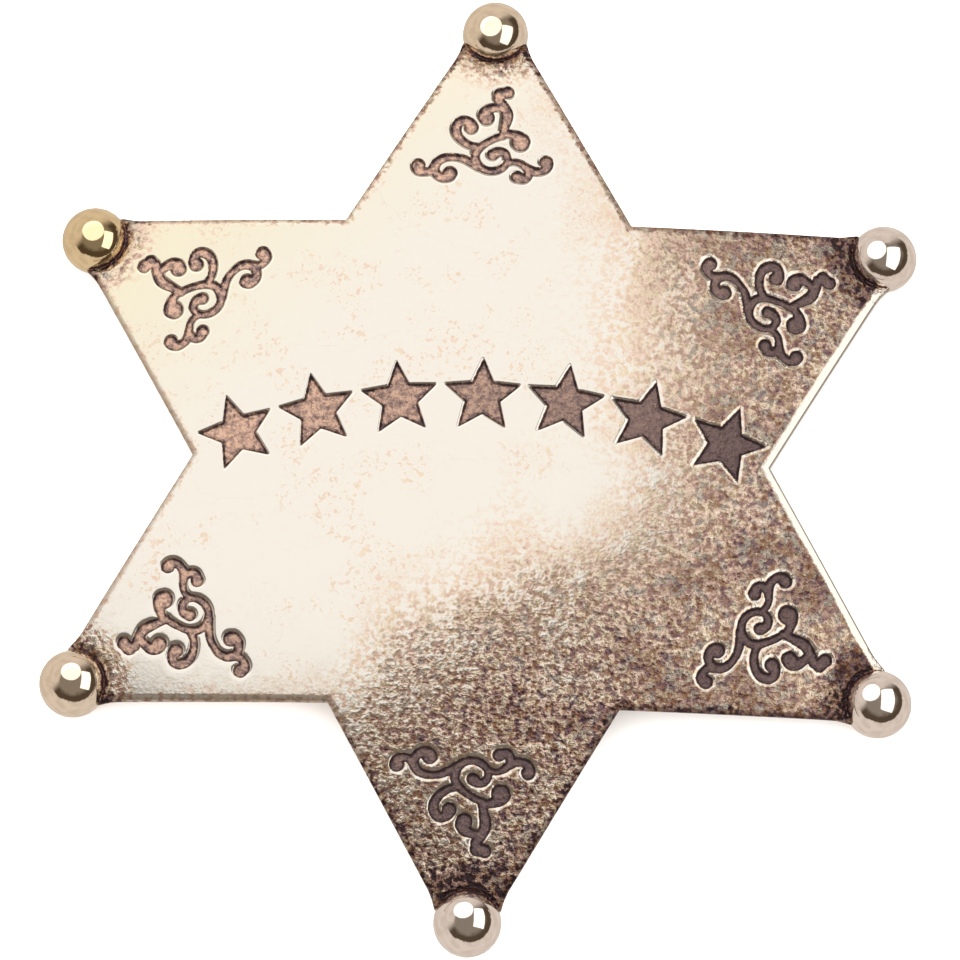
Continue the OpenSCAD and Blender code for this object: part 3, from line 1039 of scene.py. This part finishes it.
def addCamera():
    x, y, z = (Matrix.Rotation(math.radians(angle), 3, axis) for axis, angle in studio["turns"].items())
    turn = x @ y @ z
    data = bpy.data.cameras.new("camera")
    data.lens = studio["lens"]
    data.sensor_width = studio["sensor"]
    data.sensor_fit = "HORIZONTAL"
    data.clip_start = studio["clipStart"]
    size, (column, row) = studio["pictureSize"], studio["middlePixel"]
    data.shift_x = (size / 2 - column) / size
    data.shift_y = -(size / 2 - row) / size
    camera = addObject("camera", data)
    place = Vector((0, 0, domeTop)) + turn[2] * studio["distance"]
    camera.matrix_world = Matrix.Translation(place) @ turn.transposed().to_4x4()
    bpy.context.scene.camera = camera


# Soft lights: slopes of the way there from straight above, distance, size, radiance, colour, and
# which rays don't see each
softboxes = {
    "roundSoftbox": ("DISK", (-0.275, 0.475), 0.11, (0.142, 0.142), 1.1, (1.0, 0.995, 0.98), "diffuse"),
    "sideSoftbox": ("RECTANGLE", (0.906, -0.03), 0.12, (0.15, 0.086), 1.35, (1.0, 0.985, 0.96),
                    "diffuse"),
    "floorLight": ("SQUARE", (0.05, 0.15), 0.9, (2.4, 2.4), 4.1, (1.0, 0.99, 0.98), "glossy"),
}


def addSoftbox(name, shape, slopes, distance, size, radiance, colour, unseenBy):
    data = bpy.data.lights.new(name, "AREA")
    data.shape = shape
    data.size, data.size_y = size
    area = size[0] * size[1] * (math.pi / 4 if shape == "DISK" else 1)
    data.energy = radiance * area * math.pi
    data.color = colour
    light = addObject(name, data)
    place = Vector((*slopes, 1)).normalized() * distance
    light.matrix_world = Matrix.Translation(place) @ place.to_track_quat("Z", "Y").to_matrix().to_4x4()
    for rays in ("camera", unseenBy):
        setattr(light, "visible_" + rays, False)


def makeSurroundings():
    world = bpy.data.worlds.new("studio")
    world.use_nodes = True
    bpy.context.scene.world = world
    maker = Maker(world.node_tree)
    direction = maker.node("ShaderNodeTexCoord", output="Generated")
    x, y, z = maker.split(direction)
    cloud = noiseWire(maker, direction, 0.45, 2.0)
    tatter = noiseWire(maker, direction, 0.12, 2.0)
    over = z + x * 0.12 + y * 0.1 - 0.12 + (cloud - 0.5) * 0.3 + (tatter - 0.5) * 0.12
    facing = (x * 0.62 - y * 0.78).step(-0.5, -0.05)
    colour = maker.mixColours(cloud.step(0.35, 0.65), *studio["skyBack"])
    colour = maker.mixColours(over.step(-0.03, 0.06) * facing, colour, studio["skyRing"])
    colour = maker.mixColours(over.step(0.3, 0.6) * facing, colour, studio["skyTop"])
    colour = maker.mixColours(z.step(0.68, 0.8), colour, studio["skyTop"])
    background = maker.node("ShaderNodeBackground", {"Color": colour, "Strength": 1.0})
    maker.node("ShaderNodeOutputWorld", {"Surface": background})


def addFloor():
    data = bpy.data.meshes.new("floor")
    reach = studio["floorReach"]
    data.from_pydata([(-reach, -reach, 0), (reach, -reach, 0), (reach, reach, 0), (-reach, reach, 0)], [],
                     [(0, 1, 2, 3)])
    floor = addObject("floor", data)
    material, maker = newMaterial("paleFloor")
    endMaterial(maker, {"Base Color": (*studio["floorTone"], 1), "Roughness": 0.9,
                        "Specular IOR Level": 0.2})
    data.materials.append(material)
    floor.visible_glossy = False  # the metal mirrors the warm surroundings instead


addCamera()
for name, values in softboxes.items():
    addSoftbox(name, *values)
makeSurroundings()
addFloor()
bpy.context.scene.view_settings.view_transform = "Standard"
print("studio ready")

ornamentTree = makeOrnamentTree()
scrolls = (scrollField(), scrollPlacements())
starRow = (smallStarField(), smallStarPlacements())
ornaments = [scrolls, starRow]
rings = [placeRings(ornamentTree, ringMesh("scrollOutline", scrolls[0]), scrolls[1], "scrolls"),
         placeRings(ornamentTree, ringMesh("starOutline", starRow[0]), starRow[1], "starRow")]
print("ornament rings", [len(ring[0]) for ring in rings])
plateMesh = buildPlate(ornaments, rings)
print("plate", len(plateMesh.polygons), "faces")
silver = makeAntiqueSilver()
joined = joinSolids(plateMesh, makeBalls(silver))
joined.materials.clear()
joined.materials.append(silver)
joined.shade_smooth()
joined.set_sharp_from_angle(angle=math.radians(star["sharpAngle"]))
markWearAndShade(joined, ornaments)
badgeMesh = addRelief(joined, silver)
print("star badge", len(badgeMesh.polygons), "faces")
starBadge = addObject("starBadge", badgeMesh)
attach(starBadge, "root")
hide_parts("star")

pinNode = bpy.data.objects["pin_back"]
nickel = makePinNickel()
for slot in pinNode.material_slots:
    slot.material = nickel
print("pin finished")
